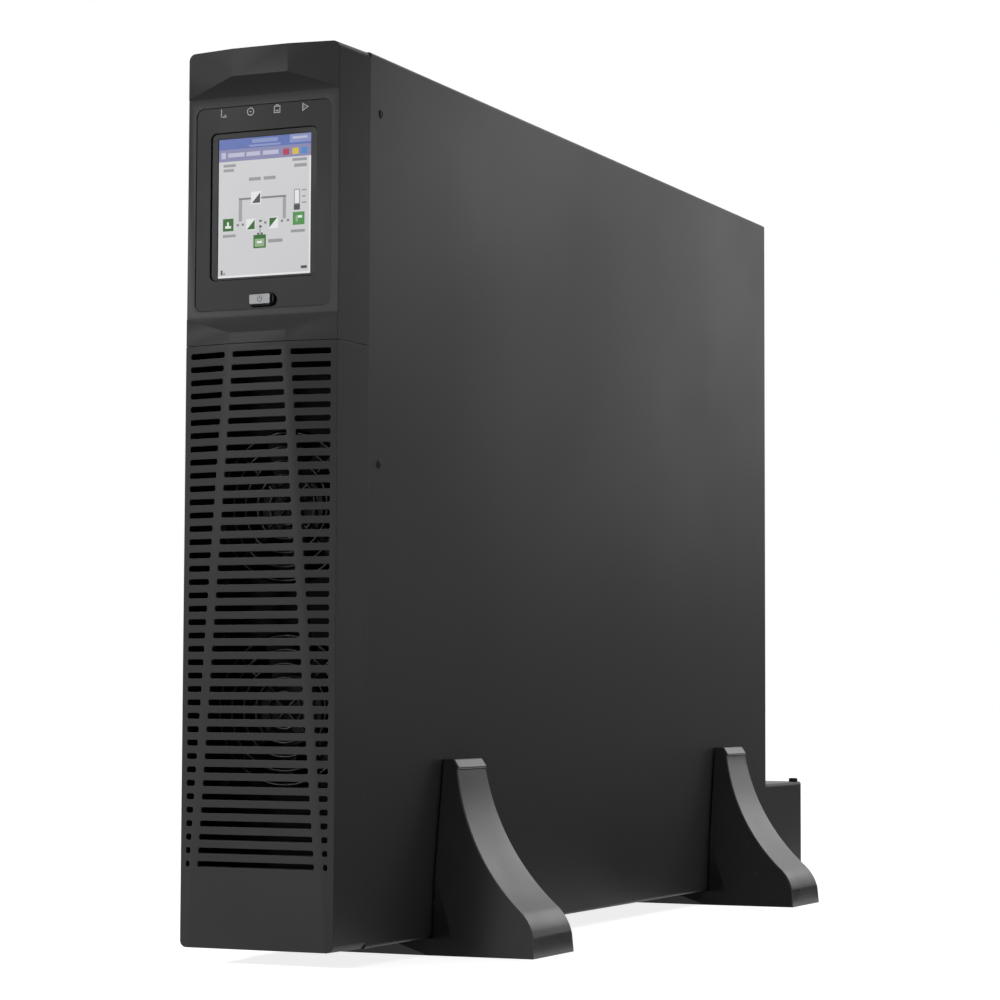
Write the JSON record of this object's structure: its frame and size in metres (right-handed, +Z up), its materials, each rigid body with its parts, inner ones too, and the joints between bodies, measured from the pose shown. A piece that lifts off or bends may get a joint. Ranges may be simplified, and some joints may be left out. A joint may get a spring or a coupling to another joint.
{
  "type": "rack-mount uninterruptible power supply",
  "caption": "Flat black rack and tower UPS on edge in two curved stands, with a slotted front bezel, colour screen, power button, fans and rear terminal box.",
  "frame": {"origin": "on the floor, at the middle of the whole length and width", "axes": "+Z up, the front faces -Y, +X to the right of the front"},
  "size_m": [0.2024, 0.6974, 0.4464],
  "materials": {
    "powder_coated_steel": "fine satin powder coat",
    "bezel_plastic": "fine moulded texture",
    "fascia_plastic": "fine moulded texture",
    "screen_frame_plastic": "fine moulded texture",
    "lcd_glass": "lit screen under a clear cover",
    "button_plastic": "moulded",
    "silver_plastic": "silver painted",
    "screw_steel": "black zinc",
    "connector_plastic": "moulded",
    "port_steel": "tin plated",
    "green_plastic": "moulded",
    "fan_plastic": "moulded",
    "guard_wire": "nickel plated wire",
    "stand_plastic": "satin moulded"
  },
  "bodies": {
    "unit": {"battery_socket": "connector_plastic", "breaker_toggle": "connector_plastic", "card_slot_cover": "powder_coated_steel", "chassis_cover": "powder_coated_steel", "chassis_tray": "powder_coated_steel", "control_fascia": "fascia_plastic", "display_housing": "bezel_plastic", "emergency_stop_plug": "green_plastic", "fan_frame_lower": "fan_plastic", "fan_frame_upper": "fan_plastic", "fan_guard_lower": "guard_wire", "fan_guard_upper": "guard_wire", "fan_plate": "powder_coated_steel", "fan_rotor_lower": "fan_plastic", "fan_rotor_upper": "fan_plastic", "front_stand_left": "stand_plastic", "front_stand_right": "stand_plastic", "grille_cover": "bezel_plastic", "input_breaker": "connector_plastic", "lcd_screen": "lcd_glass", "rear_panel": "powder_coated_steel", "rear_stand_left": "stand_plastic", "rear_stand_right": "stand_plastic", "screen_frame": "screen_frame_plastic", "serial_port": "port_steel", "terminal_box": "powder_coated_steel", "terminal_box_knob": "screw_steel"},
    "button": {"power_button": "button_plastic", "button_cap": "silver_plastic"}
  },
  "joints": [
    {"name": "button_press", "type": "slide", "parent": "unit", "child": "button", "axis": [0, 1, 0], "range_m": [0, 0.0015], "stiffness_N_per_m": 1200}
  ]
}
